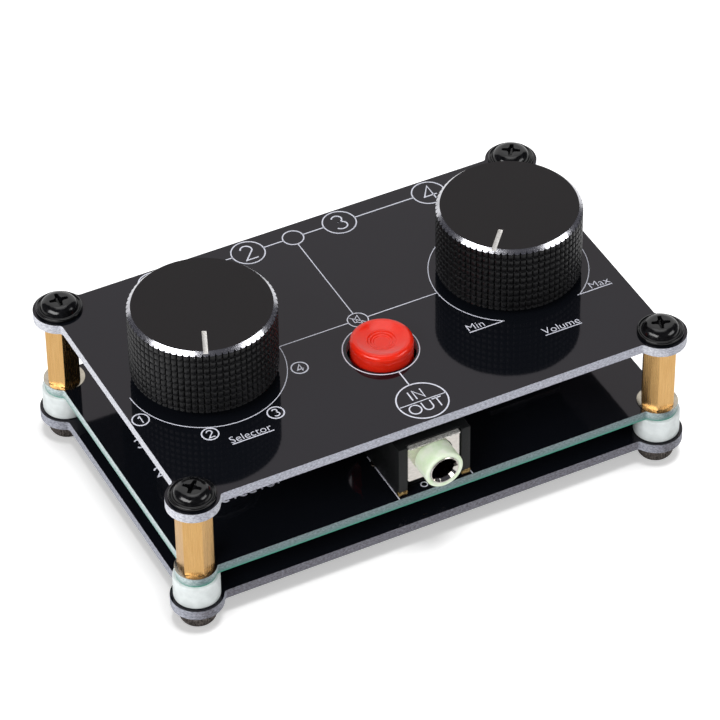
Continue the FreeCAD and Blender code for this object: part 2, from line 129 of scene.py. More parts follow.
def grained(name, colours, roughness, size, relief=0.0, stretch=(1, 1, 1), **sockets):
    """A finish with one grain: size is its width and relief its height in mm, and colours and
    roughness are each a pair, for the grain's dips and for its tops."""
    material, tree, shader = bare_finish(name, **sockets)
    place = add_node(tree, "TexCoord").outputs["Object"]
    spread = add_node(tree, "Mapping", {"Vector": place, "Scale": [s / (size * mm) for s in stretch]})
    noise = add_node(tree, "TexNoise", {"Vector": spread.outputs[0], "Scale": 1.0, "Detail": 3.0})
    # noise keeps near its middle, so the middle third of its range becomes 0 to 1
    grain = add_node(tree, "MapRange", {0: noise.outputs[0], 1: 0.32, 2: 0.68}).outputs[0]
    tint = add_node(tree, "Mix", {0: grain, 6: colours[0], 7: colours[1]}, data_type="RGBA")
    gloss = add_node(tree, "MapRange", {0: grain, 3: roughness[0], 4: roughness[1]})
    set_sockets(shader, {"Base Color": tint.outputs[2], "Roughness": gloss.outputs[0]})
    if relief:
        bump = add_node(tree, "Bump", {"Height": grain, "Distance": relief * mm})
        set_sockets(shader, {"Normal": bump.outputs[0]})
    return material


print("finish functions ready")

# %% [markdown]
# ## From numbers to meshes
# Each surface is a grid of points: a profile turned about an axis, or a height over a plane.
# The points are worked out as whole arrays. Faces join neighbours in the grid, the doubled
# points at poles and seams are merged, and only then is the mesh shaded.

# %% Surfaces as points and faces
def grid_faces(rows, cols, wrap=True):
    """Quads of a grid of points, in the order i,j  i,j+1  i+1,j+1  i+1,j."""
    i = np.arange(rows - 1)[:, None]
    j = np.arange(cols if wrap else cols - 1)[None, :]
    after = (j + 1) % cols
    quads = np.stack([i * cols + j, i * cols + after, (i + 1) * cols + after, (i + 1) * cols + j], -1)
    return quads.reshape(-1, 4)


def turned_surface(radius, height, angles, centre=(0.0, 0.0)):
    """Turning: x = cx + r cos a, y = cy + r sin a, z = h. The profile runs up on the outside.
    radius and height hold one value per row, or one per row and angle where the outline varies."""
    radius, height = (np.asarray(v, float).reshape(len(v), -1) for v in (radius, height))
    shape = (len(radius), len(angles))
    radius, height = np.broadcast_to(radius, shape), np.broadcast_to(height, shape)
    points = np.stack([centre[0] + radius * np.cos(angles), centre[1] + radius * np.sin(angles),
                       height], -1)
    return points.reshape(-1, 3), grid_faces(*shape)


def full_turn(count):
    """Evenly spaced angles of one whole turn."""
    return np.arange(count) * 2 * math.pi / count


def box_part(low, high):
    """The eight corners and six faces of a box, faces outwards."""
    points = np.array([(x, y, z) for z in (low[2], high[2]) for x, y in
                       ((low[0], low[1]), (high[0], low[1]), (high[0], high[1]), (low[0], high[1]))])
    return points, [(3, 2, 1, 0), (4, 5, 6, 7), (0, 1, 5, 4), (1, 2, 6, 5), (2, 3, 7, 6), (3, 0, 4, 7)]


print("surface functions ready")

# %% [markdown]
# A part is its points, its faces and a finish. Parts are joined into one mesh, and a piece is
# that mesh on an object. Each piece rides on a body and may stand for CAD parts, which are then
# hidden.

# %% Parts, meshes and pieces
def joined_mesh(name, parts):
    """One mesh from (points in mm, faces, material) parts."""
    points, faces, owner, materials = [], [], [], []
    for part_points, part_faces, material in parts:
        if material not in materials:
            materials.append(material)
        offset = sum(len(p) for p in points)
        points.append(part_points)
        faces.extend([[int(v) + offset for v in face] for face in part_faces])
        owner.extend([materials.index(material)] * len(part_faces))
    mesh = bpy.data.meshes.new(name)
    mesh.from_pydata((np.concatenate(points) * mm).tolist(), [], faces)
    mesh.polygons.foreach_set("material_index", owner)
    for material in materials:
        mesh.materials.append(material)
    return mesh


def new_object(name, data):
    """Link an object that holds a mesh, a lamp or a camera."""
    made = bpy.data.objects.new(name, data)
    bpy.context.scene.collection.objects.link(made)
    return made


def finished(piece, body, stands_for, crease):
    """Smooth a piece except at its creases, then say what it rides on and what it stands for."""
    piece.data.shade_smooth()
    piece.data.set_sharp_from_angle(angle=math.radians(crease))
    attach(piece, body)
    if stands_for:
        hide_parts(*stands_for)
    print(piece.name, len(piece.data.polygons), "faces")
    return piece


def new_piece(name, parts, body, stands_for=(), crease=30.0):
    """Join parts into one closed piece, with its doubled points merged and its faces outwards."""
    mesh = joined_mesh(name, parts)
    work = bmesh.new()
    work.from_mesh(mesh)
    bmesh.ops.remove_doubles(work, verts=work.verts, dist=0.0005 * mm)
    bmesh.ops.dissolve_degenerate(work, edges=work.edges, dist=0.0001 * mm)
    bmesh.ops.recalc_face_normals(work, faces=work.faces)
    work.to_mesh(mesh)
    work.free()
    return finished(new_object(name, mesh), body, stands_for, crease)


def applied(piece, kind, **settings):
    """Put a modifier on a piece and make its result the mesh."""
    modifier = piece.modifiers.new(kind.title(), kind)
    for name, value in settings.items():
        setattr(modifier, name, value)
    bpy.context.view_layer.update()
    shown = piece.evaluated_get(bpy.context.evaluated_depsgraph_get())
    result = bpy.data.meshes.new_from_object(shown)
    piece.modifiers.clear()
    piece.data = result
    return piece


def cut_away(piece, points, faces, material):
    """Take a closed shape (points in mm) out of a piece; the cut shows the given finish."""
    cutter = new_object("cutter", joined_mesh("cutter", [(points, faces, material)]))
    applied(piece, "BOOLEAN", object=cutter, operation="DIFFERENCE", solver="EXACT",
            material_mode="TRANSFER")
    bpy.data.objects.remove(cutter)


def eased_copy(node, material, body, width):
    """A CAD part whose edges are broken: doubles merged, flat faces rejoined, edges bevelled."""
    crease = 35.0
    mesh = nodes[node].data.copy()
    work = bmesh.new()
    work.from_mesh(mesh)
    bmesh.ops.remove_doubles(work, verts=work.verts, dist=0.001 * mm)
    bmesh.ops.dissolve_limit(work, angle_limit=math.radians(1), verts=work.verts, edges=work.edges)
    work.to_mesh(mesh)
    work.free()
    if "custom_normal" in mesh.attributes:
        mesh.attributes.remove(mesh.attributes["custom_normal"])
    mesh.materials.clear()
    mesh.materials.append(material)
    made = applied(new_object(node + "_eased", mesh), "BEVEL", width=width * mm, segments=3,
                   limit_method="ANGLE", angle_limit=math.radians(crease))
    finished(made, body, (node,), crease)


def dress(material, *names):
    """Give CAD parts a new material."""
    for name in names:
        nodes[name].data.materials.clear()
        nodes[name].data.materials.append(material)


print("mesh helpers ready")

# %% [markdown]
# ## Circuit boards
# A board is a glass-fibre laminate under a black lacquer called solder mask. The mask is cured
# smooth, so it mirrors what stands on it. The edges show bare laminate, dull and speckled where
# cut glass bundles end. Edges that face sideways, as the short sides and parts of the lobes do, are
# painted paler, as painted light, and the long sides are painted darker, as painted shade. The
# main board has a clear resin core, which gathers green light below.

# %% Board materials
def board_finish(name, long_sides_painted_shade, short_sides_painted_light, green=None):
    """Glossy mask on the flat faces and laminate on the edges, told apart by the surface normal.
    long_sides_painted_shade and short_sides_painted_light are pairs of colours for the long and the
    short sides, the one painted darker as painted shade and the other paler as painted light."""
    material, tree, shader = bare_finish(name, IOR=1.385, Specular_Tint="fff3fd")
    place = add_node(tree, "TexCoord")
    normal = add_node(tree, "SeparateXYZ", {0: place.outputs["Normal"]})
    level, sideways = (add_node(tree, "Math", {0: normal.outputs[axis]}, operation="ABSOLUTE").outputs[0]
                       for axis in "ZX")
    edge = add_node(tree, "Math", {0: level, 1: 0.5}, operation="LESS_THAN").outputs[0]
    short_side = add_node(tree, "MapRange", {0: sideways, 1: 0.1, 2: 0.9}).outputs[0]
    # glass bundles are about 0.4 mm wide, in layers of 0.2 mm
    layers = add_node(tree, "Mapping", {"Vector": place.outputs["Object"], "Scale": (2400, 2400, 5000)})
    bundles = add_node(tree, "TexNoise", {"Vector": layers.outputs[0], "Scale": 1.0, "Detail": 3.0,
                                          "Roughness": 0.7})
    contrast = add_node(tree, "MapRange", {0: bundles.outputs[0], 1: 0.38, 2: 0.62}).outputs[0]
    dark, light = (add_node(tree, "Mix", {0: short_side, 6: long_sides_painted_shade[k], 7: short_sides_painted_light[k]},
                            data_type="RGBA").outputs[2] for k in (0, 1))
    laminate = add_node(tree, "Mix", {0: contrast, 6: dark, 7: light}, data_type="RGBA").outputs[2]
    if green:
        height = add_node(tree, "SeparateXYZ", {0: place.outputs["Object"]}).outputs["Z"]
        held = add_node(tree, "MapRange", {0: short_side, 3: 1.0, 4: 0.62}).outputs[0]
        for colour, share, reach in ((green[0], 0.85, 0.95), (green[1], 0.8, 0.2)):
            # the tint is full at the lower edge and gone at its reach; the sides painted paler take less
            low = add_node(tree, "MapRange", {0: height, 1: (deck_low[2] + reach) * mm,
                                              2: (deck_low[2] + 0.05) * mm, 4: share})
            amount = add_node(tree, "Math", {0: low.outputs[0], 1: held}, operation="MULTIPLY")
            laminate = add_node(tree, "Mix", {0: amount.outputs[0], 6: laminate, 7: colour},
                                data_type="RGBA").outputs[2]
    skin = add_node(tree, "Mix", {0: edge, 6: "0f1116", 7: laminate}, data_type="RGBA")
    gloss = add_node(tree, "MapRange", {0: edge, 3: 0.06, 4: 0.62})
    # the mask ripples by a few microns over 3 mm
    ripple = add_node(tree, "TexNoise", {"Vector": place.outputs["Object"], "Scale": 350.0, "Detail": 1.0})
    bump = add_node(tree, "Bump", {"Height": ripple.outputs[0], "Distance": 0.004 * mm})
    set_sockets(shader, {"Base Color": skin.outputs[2], "Roughness": gloss.outputs[0],
                         "Normal": bump.outputs[0]})
    return material


# each board's short sides are painted paler, as painted light, and its long sides darker, as painted shade
panel_laminate = board_finish("black_solder_mask_panel", ("8c8e9a", "c4c7d2"), ("b2b4be", "e2e4ea"))
# the base board's edges are painted darker than the panel's, as painted shade near the floor
base_laminate_painted_shade = board_finish("black_solder_mask_base_painted_shade", ("4e4e53", "84848e"), ("80838e", "b6b9c4"))
clear_laminate = board_finish("clear_core_main_board", ("56686c", "8a9a9c"), ("a0b3b4", "d6e1e1"),
                              green=("54867f", "2fa383"))
dress(panel_laminate, "top_panel")
dress(clear_laminate, "main_board")
dress(base_laminate_painted_shade, "bottom_panel")
print("boards dressed")

# %% [markdown]
# ## Printed legend
# White epoxy ink is screened on the boards: numerals, rings that scale the knobs, and lines that
# tie them. Lines are drawn as ribbons of constant width along a path, which is how a screen's
# stencil is cut. Numerals and large letters are single strokes. The small words use Blender's
# own font, made a mesh before it is placed. The ink is matt and faintly mottled.

# %% Ink and stroke helpers
ink = grained("white_epoxy_ink", ("dfe2f2", "f4f5ff"), (0.5, 0.6), 0.2)
ink_thickness = 0.03


def ribbon(path, width, closed=False):
    """Flat strip along a path: each point moves half a width along the mitre of its two runs."""
    path = np.asarray(path, float)
    before, after = np.roll(path, 1, 0), np.roll(path, -1, 0)
    if not closed:
        before[0], after[-1] = 2 * path[0] - path[1], 2 * path[-1] - path[-2]
    runs = [step / np.linalg.norm(step, axis=1)[:, None] for step in (path - before, after - path)]
    sides = [np.stack([-run[:, 1], run[:, 0]], 1) for run in runs]
    mitre = sides[0] + sides[1]
    mitre /= np.maximum((mitre * sides[0]).sum(1), 0.35)[:, None]
    left, right = path + mitre * width / 2, path - mitre * width / 2
    i = np.arange(len(path) if closed else len(path) - 1)
    j = (i + 1) % len(path)
    return np.stack([left, right], 1).reshape(-1, 2), np.stack([2 * i, 2 * i + 1, 2 * j + 1, 2 * j], 1)


def arc(cx, cy, rx, ry, start, end, count=24):
    """Points of an elliptic arc between two angles in degrees."""
    a = np.radians(np.linspace(start, end, count))
    return np.column_stack([cx + rx * np.cos(a), cy + ry * np.sin(a)])


# strokes in a box one unit high, centred on x = 0
strokes = {
    "1": [[(-0.16, 0.76), (0.08, 1.0), (0.08, 0.0)]],
    "2": [np.vstack([arc(0.0, 0.72, 0.28, 0.28, 165, -25), [(-0.3, 0.0), (0.32, 0.0)]])],
    "3": [np.vstack([arc(-0.02, 0.76, 0.25, 0.24, 155, -75), [(-0.08, 0.52)]]),
          np.vstack([[(-0.08, 0.52)], arc(0.0, 0.27, 0.3, 0.27, 75, -150)])],
    "4": [[(0.16, 0.0), (0.16, 1.0), (-0.32, 0.28), (0.34, 0.28)]],
    "I": [[(0.0, 0.0), (0.0, 1.0)]],
    "N": [[(-0.34, 0.0), (-0.34, 1.0), (0.34, 0.0), (0.34, 1.0)]],
    "O": [arc(0.0, 0.5, 0.47, 0.5, 90, 445, 41)],
    "U": [np.vstack([[(-0.37, 1.0)], arc(0.0, 0.37, 0.37, 0.37, 180, 360), [(0.37, 1.0)]])],
    "T": [[(-0.4, 1.0), (0.4, 1.0)], [(0.0, 1.0), (0.0, 0.0)]],
    "S": [np.vstack([arc(0.0, 0.74, 0.29, 0.26, 35, 262), arc(0.0, 0.26, 0.31, 0.26, 82, -145)])],
    "e": [np.vstack([[(-0.31, 0.36)], arc(0.0, 0.35, 0.32, 0.35, 2, 312)])],
    "l": [[(0.0, 0.0), (0.0, 1.0)]],
    "c": [arc(0.02, 0.35, 0.37, 0.35, 50, 310)],
    "t": [[(0.0, 0.93), (0.0, 0.0)], [(-0.2, 0.69), (0.22, 0.69)]],
    "o": [arc(0.0, 0.35, 0.33, 0.35, 90, 445, 31)],
    "r": [[(-0.1, 0.0), (-0.1, 0.71)], arc(0.15, 0.42, 0.25, 0.28, 175, 75, 8)],
}


def drawn(letter, x, y, height, width):
    """A numeral or letter of single strokes, standing on y and centred on x."""
    return [ribbon(np.asarray(stroke) * height + (x, y), width) for stroke in strokes[letter]]


def ring(x, y, radius, width, start=0.0, end=360.0):
    """A printed circle, or part of one."""
    whole = end - start >= 360
    path = arc(x, y, radius, radius, start, end, max(24, int(radius * 24)) + 1)
    return ribbon(path[:-1] if whole else path, width, closed=whole)


def numbered_ring(number, x, y, radius, width, height, stroke):
    """A ring of one line width round a numeral of another."""
    return [ring(x, y, radius, width), *drawn(str(number), x, y - height / 2, height, stroke)]


def word(text, x, y, width):
    """Small word in Blender's own font, scaled to a given width, as points and faces."""
    curve = bpy.data.curves.new("word", "FONT")
    curve.body = text
    curve.resolution_u = 3
    curve.offset = -0.012                                # thins the strokes, as on the board
    source = bpy.data.objects.new("word", curve)
    mesh = bpy.data.meshes.new_from_object(source)
    points = np.array([v.co for v in mesh.vertices])[:, :2]
    faces = [list(p.vertices) for p in mesh.polygons]
    bpy.data.objects.remove(source)
    scale = width / np.ptp(points[:, 0])
    return (points - (points[:, 0].min(), 0)) * scale + (x, y), faces


def printed(name, sheets, board_z):
    """Flat sheets of ink as one piece on a board, facing up and as thick as the ink."""
    level = board_z + ink_thickness
    mesh = joined_mesh(name, [(np.column_stack([points, np.full(len(points), level)]), faces, ink)
                              for points, faces in sheets])
    work = bmesh.new()
    work.from_mesh(mesh)
    bmesh.ops.reverse_faces(work, faces=[f for f in work.faces if f.normal.z < 0])
    work.to_mesh(mesh)
    work.free()
    made = applied(new_object(name, mesh), "SOLIDIFY", thickness=ink_thickness * mm, offset=-1.0)
    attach(made, "frame")
    print(name, len(made.data.polygons), "faces")


# %% [markdown]
# The panel's print is in millimetres from the panel's middle: four outputs along the rear, four
# positions round the selector, a scale of 296 degrees round the volume knob, and the push button
# with the sign for the front jack. The lines are 0.1 to 0.23 mm wide.

# %% The panel's legend
line, fine, scale_line = 0.195, 0.155, 0.13
middle, rear_y, rear_radius, junction, mute_radius = -0.12, 21.62, 2.6, 1.63, 1.57
rear_x = (-23.15, -7.72, 7.75, 23.10)
scale_radius, button_y, button_ring, sign_y, sign_radius = 12.1, -7.45, 5.7, -20.35, 3.85
legend = [ring(left_knob, 0, scale_radius, scale_line, 180, 360),
          ring(right_knob, 0, scale_radius, scale_line, -58, 238),
          ring(middle, rear_y, junction, line), ring(middle, 0, mute_radius, fine),
          ring(middle, button_y, button_ring, 0.16), ring(0, sign_y, sign_radius, 0.215)]
for number, x in enumerate(rear_x, 1):
    legend += numbered_ring(number, x, rear_y, rear_radius, line, 3.2, 0.225)
for number, (x, y) in enumerate([(-38.03, -5.08), (-30.44, -12.52), (-20.03, -12.79), (-12.58, -5.6)], 1):
    legend += numbered_ring(number, x, y, 1.25, 0.2, 1.5, 0.18)
# along the rear, a line joins each ring to the next
stops = [(x, rear_radius) for x in rear_x]
stops.insert(2, (middle, junction))
for (x0, radius0), (x1, radius1) in zip(stops, stops[1:]):
    legend.append(ribbon([(x0 + radius0, rear_y), (x1 - radius1, rear_y)], line))
# the lines that tie the controls, then the bar in the sign, then the four underlines
for x0, y0, x1, y1, width in (
        (left_knob + scale_radius, 0, middle - mute_radius, 0, fine),
        (middle + mute_radius, 0, right_knob - scale_radius, 0, fine),
        (middle, mute_radius, middle, rear_y - junction, fine),
        (middle, button_y - button_ring, middle, sign_y + sign_radius, 0.19),
        (-sign_radius, -20.34, sign_radius, -20.34, 0.14),
        (13.2, -10.28, 19.0, -10.28, 0.17), (31.5, -10.22, 37.4, -10.22, 0.17),
        (22.8, -16.08, 28.95, -16.08, 0.14), (-28.55, -16.04, -21.85, -16.04, 0.165)):
    legend.append(ribbon([(x0, y0), (x1, y1)], width))
for text, x, y, width in (("Min", 13.3, -9.95, 2.7), ("Max", 34.1, -9.9, 3.25),
                          ("Volume", 22.85, -15.85, 6.05), ("Selector", -28.5, -15.8, 6.5)):
    legend.append(word(text, x, y, width))
for letter, x, y in (("I", -1.2, -19.72), ("N", 0.15, -19.72), ("O", -1.8, -22.6), ("U", 0.25, -22.6),
                     ("T", 2.05, -22.6)):
    legend += drawn(letter, x, y, 1.9, 0.2)
# a crossed-out loudspeaker: the position that mutes
legend += [ribbon([(-0.8, 0.4), (-0.4, 0.4), (0.2, 1.0), (0.2, -1.0), (-0.4, -0.4), (-0.8, -0.4)],
                  0.12, closed=True),
           ribbon([(-0.4, 0.4), (-0.4, -0.4)], 0.1), ribbon([(-1.1, 0.9), (0.8, -0.9)], 0.12)]
printed("panel_legend", legend, panel_z)

# %% [markdown]
# The main board's own print shows an assembler where each component goes: an outline round each
# jack, knob control and switch, the numbers of the four outputs, and the selector's name.

# %% Print on the main board
jack_pitch = 15.4
jack_places = {"input": (0.0, 1)}
jack_places.update({"output_%d" % (k + 1): ((k - 1.5) * jack_pitch, -1) for k in range(4)})
case_left, case_right, case_back, case_front = -5.97, 6.15, -14.2, -24.55
outlines = []
for x, facing in jack_places.values():
    # the outline is open beside the peg, from 15.2 to 16.7 mm
    for path in ([(case_left, -15.2), (case_left, case_back), (case_right, case_back),
                  (case_right, case_front)], [(case_left, -16.7), (case_left, case_front)]):
        outlines.append(ribbon(np.array(path) * facing + (x, 0), 0.17))
    outlines.append(ring(x - facing * 1.28, -facing * 23.33, 0.5, 0.17))
half = 6.4
outlines += [ring(left_knob, 0, 8.5, 0.18),
             ribbon(np.array([(-half, -half), (half, -half), (half, half), (-half, half)])
                    + (right_knob, 0), 0.18, closed=True)]
letter_pitch, number_pitch = 1.45, 6.95
for k, letter in enumerate("Selector"):
    outlines += drawn(letter, -30.0 + letter_pitch * k, -13.2, 1.9, 0.27)
for k, x in enumerate((-34.6, -34.6, -34.6, -33.8)):
    outlines += drawn(str(k + 1), x, -10.6 + number_pitch * k, 1.8, 0.25)
printed("deck_print", outlines, deck_z)

# %% [markdown]
# Round each screw hole and under each jack's peg the copper is left bare and tinned, which looks
# like a bright washer 0.05 mm thick. Its profile is a flat ring, turned about the hole.

# %% Tinned pads
tinned = grained("tinned_copper_pad", ("aaa294", "c4bcae"), (0.16, 0.24), 1.2, Metallic=1.0)
pad_bore, pad_radius, pad_thickness = 1.72, 3.15, 0.05
pad_r = [pad_bore, pad_radius, pad_radius, pad_radius - 0.1, pad_bore, pad_bore]
pad_rise = np.array([0, 0, 0.02, pad_thickness, pad_thickness, 0])
pads = [(*turned_surface(pad_r, z + pad_rise, full_turn(48), place), tinned)
        for place in corners.values() for z in (deck_z, panel_low[2] - pad_thickness)]
pads += [(*turned_surface([0.22, 0.55, 0.5, 0.22, 0.22], deck_z + np.array([0, 0, 0.1, 0.14, 0]),
                          full_turn(20), (x - facing * 5.75, -facing * 15.95)), tinned)
         for x, facing in jack_places.values()]
new_piece("tinned_pads", pads, "frame")

# %% [markdown]
# ## Knob finishes
# A knob is turned from aluminium bar, knurled, anodised black, and faced with a diamond tool.
# The chamfer it leaves is bright metal. The top is spun: fine rings about the axis, worked out
# from the distance to it, give a soft dark sheen. The pointer is a milled slot filled with paint.

# %% Knob materials
def spun(name, colour, roughness, x):
    """Metal faced on a lathe: its gloss and relief follow rings about the knob's axis."""
    material, tree, shader = bare_finish(name, Base_Color=colour, Metallic=1.0)
    place = add_node(tree, "TexCoord").outputs["Object"]
    flat = add_node(tree, "Mapping", {"Vector": place, "Scale": (1000, 1000, 0), "Location": (-x, 0, 0)})
    distance = add_node(tree, "VectorMath", {0: flat.outputs[0]}, operation="LENGTH").outputs["Value"]
    # tool marks are 0.05 mm apart; they are drawn 0.25 mm apart to show
    rings = add_node(tree, "TexNoise", {"W": distance, "Scale": 4.0, "Detail": 2.0},
                     noise_dimensions="1D").outputs[0]
    gloss = add_node(tree, "MapRange", {0: rings, 3: roughness * 0.8, 4: roughness * 1.2})
    bump = add_node(tree, "Bump", {"Height": rings, "Distance": 0.003 * mm})
    set_sockets(shader, {"Roughness": gloss.outputs[0], "Normal": bump.outputs[0]})
    return material


anodised = grained("black_anodised_knurl", ("101011", "1a1a1c"), (0.3, 0.45), 0.4, Metallic=0.35)
spun_top = {side: spun(side + "_top_black_spun_aluminium", "2a2829", 0.36, x)
            for side, x in knob_x.items()}
diamond_cut = {side: spun(side + "_rim_diamond_cut_aluminium", "dcdce2", 0.2, x)
               for side, x in knob_x.items()}
slot_paint = grained("pointer_slot_paint", ("d6d3d0", "f0eeec"), (0.35, 0.55), 0.25)
print("knob finishes:", anodised.name, slot_paint.name)

# %% [markdown]
# ## Knob shapes
# The knurl is square pads between grooves. The radius of the side is the full radius less a
# groove depth wherever either the angle or the height falls in a groove, so the rows of points
# need only stand at the pads' corners. The grooves run into the chamfer, which makes its lower
# edge toothed. The pointer's slot and the grub screw's hole are cut out of the finished mesh.

# %% The two knobs
pad_share = np.array([0.0, 0.12, 0.27, 0.73, 0.88])      # across one pad, from groove to groove
pad_height = np.array([0.0, 0.78, 1.0, 1.0, 0.78])       # 1 on the pad's face, 0 in the groove
pad_columns, pad_pitch, groove_depth, rim_width = 72, 1.155, 0.3, 0.6
bore_radius, recess_radius, recess_depth, roof_thickness = 3.02, 4.0, 2.2, 2.6
foot_inset, foot_bevel = 0.45, 0.12
slot_start, slot_half_width, slot_depth = 6.0, 0.35, 0.3
grub_radius, grub_height, grub_inner_end = 1.52, 4.5, 2.9


def knob(side, pointer_angle):
    """Bore, recess, knurled side, toothed chamfer and faced top of one knob, as rows of a grid."""
    low, high = extent(side + "_knob")
    x, radius, bottom, top = knob_x[side], (high[0] - low[0]) / 2, low[2], high[2]
    angles = ((np.arange(pad_columns)[:, None] + pad_share) * 2 * math.pi / pad_columns).ravel()
    across = np.tile(pad_height, pad_columns)
    roof, ledge = top - roof_thickness, bottom + recess_depth
    inside = turned_surface([0, bore_radius, bore_radius, recess_radius, recess_radius, radius - 0.75,
                             radius - foot_inset],
                            [roof, roof, ledge, ledge, bottom, bottom, bottom + foot_bevel], angles, (x, 0))
    depth_down = np.arange(0, top - rim_width - bottom - foot_bevel, pad_pitch)
    levels = (top - rim_width - (depth_down[:, None] + pad_share * pad_pitch)).ravel()
    up_down = np.tile(pad_height, len(depth_down))
    up_down[0] = 1.0                                     # the first row runs into the chamfer
    keep = levels > bottom + 0.15
    levels, up_down = levels[keep][::-1], up_down[keep][::-1]
    raised = radius - groove_depth * (1 - across[None, :] * up_down[:, None])
    heights = np.repeat(levels[:, None], len(angles), 1)
    heights[-1] = top - rim_width + (radius - raised[-1])
    row = np.ones((1, len(angles)))
    knurl = turned_surface(np.vstack([row * (radius - foot_inset), raised]),
                           np.vstack([row * (bottom + foot_bevel), heights]), angles, (x, 0))
    rim = turned_surface(np.vstack([raised[-1:], row * (radius - rim_width)]),
                         np.vstack([heights[-1:], row * top]), angles, (x, 0))
    face = turned_surface(np.linspace(radius - rim_width, 0, 8), np.full(8, top), angles, (x, 0))
    made = new_piece(side + "_knob_turned",
                     [(*inside, anodised), (*knurl, anodised), (*rim, diamond_cut[side]),
                      (*face, spun_top[side])], side, (side + "_knob",), crease=24)
    # the pointer's slot runs out through the rim, and the grub screw's hole in through the side
    a = math.radians(pointer_angle)
    turn = np.array([(math.cos(a), math.sin(a), 0), (-math.sin(a), math.cos(a), 0), (0, 0, 1)])
    slot, slot_faces = box_part((slot_start, -slot_half_width, top - slot_depth),
                                (radius + 1, slot_half_width, top + 1))
    cut_away(made, slot @ turn + (x, 0, 0), slot_faces, slot_paint)
    hole, hole_faces = turned_surface([0, grub_radius, grub_radius, 0],
                                      [-radius - 1, -radius - 1, -grub_inner_end, -grub_inner_end],
                                      full_turn(24))
    # laid along x, with the doubled points at its two poles merged
    hole, merged = np.unique(hole[:, [2, 0, 1]].round(6), axis=0, return_inverse=True)
    hole_faces = [list(dict.fromkeys(merged.ravel()[face])) for face in hole_faces]
    cut_away(made, hole @ turn + (x, 0, bottom + grub_height), hole_faces, anodised)
    print(side, "knob with slot and hole:", len(made.data.polygons), "faces")


knob("selector", 247.5)
knob("volume", 229.0)

# %% [markdown]
# ## Push button
# The cap is injection moulded in red ABS. Its top is a dish like part of a sphere, with a well
# in the middle whose wall is stepped by the lathe that cut the mould. Its rim is rounded. The
# plastic is glossy and lets a little light in, which warms its shaded side.

# %% The red cap
red = grained("moulded_red_abs", ("f22a14", "f8321c"), (0.1, 0.2), 2.0, relief=0.01,
              Specular_IOR_Level=0.4, Subsurface_Weight=0.35, Subsurface_Radius=(1.0, 0.3, 0.15),
              Subsurface_Scale=1.2 * mm)
cap_low, cap_high = extent("button_cap")
cap_radius, cap_top, cap_y = (cap_high[0] - cap_low[0]) / 2, cap_high[2], (cap_low[1] + cap_high[1]) / 2
rim_rounding, socket_radius, socket_depth, well_radius = 0.8, 1.64, 2.2, 2.3
dish_depth, well_depth, well_step, well_steps = 0.75, 0.35, 0.04, 5
bend = np.radians(np.linspace(0, 80, 12))
dish = np.linspace(cap_radius - rim_rounding - 0.12, well_radius, 12)
dish_z = cap_top - 0.03 - dish_depth * (1 - (dish / dish[0]) ** 2)
well = np.linspace(well_radius, 0, 45)
fall = np.clip((well_radius - well) / 1.1, 0, 1)
well_z = dish_z[-1] - well_depth * fall + well_step * np.sin(fall * well_steps * math.pi) * (fall < 1)
cap_r = np.concatenate([[0, socket_radius, socket_radius, cap_radius - 0.05, cap_radius, cap_radius],
                        cap_radius - rim_rounding + rim_rounding * np.cos(bend), dish, well[1:]])
cap_z = np.concatenate([[cap_top - socket_depth, cap_top - socket_depth, cap_low[2], cap_low[2],
                         cap_low[2] + 0.05, cap_top - rim_rounding - 0.1],
                        cap_top - rim_rounding + rim_rounding * np.sin(bend), dish_z, well_z[1:]])
new_piece("button_cap_moulded", [(*turned_surface(cap_r, cap_z, full_turn(96), (0, cap_y)), red)],
          "button", ("button_cap",), crease=50)

# %% [markdown]
# ## Brass spacers
# They are cut from drawn hexagon bar, so their flats carry fine lengthwise lines, and both ends
# are chamfered on a lathe. Their outline is the smaller of a hexagon and the lathe's cone at
# each height. Bare brass is a warm mirror, slightly blurred along the drawing lines.

# %% Turn and draw the brass
brass = grained("drawn_brass", ("d4a668", "e2b678"), (0.22, 0.3), 0.12, relief=0.0015,
                stretch=(1, 1, 0.03), Metallic=1.0)
spacer_turns = {"front_left": 0.0, "front_right": 31.5, "rear_left": 39.0, "rear_right": 10.0}
spacer_flats, spacer_bore, spacer_end = 4.8, 1.5, 2.5


def brass_spacer(corner):
    """Hexagon bar: radius = half the flats / cos(angle from the nearest flat's middle), and no
    more than the chamfered end allows; a threaded hole runs through."""
    low, high = extent("standoff_" + corner)
    x, y = (low[:2] + high[:2]) / 2
    sixth = np.radians([-30, -29, -27, -14, 0, 14, 27, 29])
    angles = (np.radians(spacer_turns[corner]) + np.arange(6)[:, None] * math.pi / 3 + sixth).ravel()
    hexagon = spacer_flats / 2 / np.cos(np.tile(sixth, 6))
    hexagon = np.minimum(hexagon, spacer_flats / 2 / math.cos(math.radians(30)) - 0.03)
    rise = np.array([0.0, 0.08, 0.16, 0.24])
    outer = np.minimum(hexagon, spacer_end + np.concatenate([rise, rise[::-1]])[:, None])
    levels = np.concatenate([low[2] + rise, high[2] - rise[::-1]])
    bore = np.full(len(angles), spacer_bore)
    heights = np.concatenate([[low[2]], levels, [high[2], low[2]]])
    new_piece("spacer_brass_" + corner,
              [(*turned_surface(np.vstack([bore, outer, bore, bore]), heights, angles, (x, y)), brass)],
              "frame", ("standoff_" + corner,), crease=20)


for corner in corners:
    brass_spacer(corner)

# %% [markdown]
# ## Nylon spacers
# Plain lengths of natural nylon tube, milky and slightly see-through, with the edges broken.
# One profile, up the outside and down the bore, is turned about each corner.

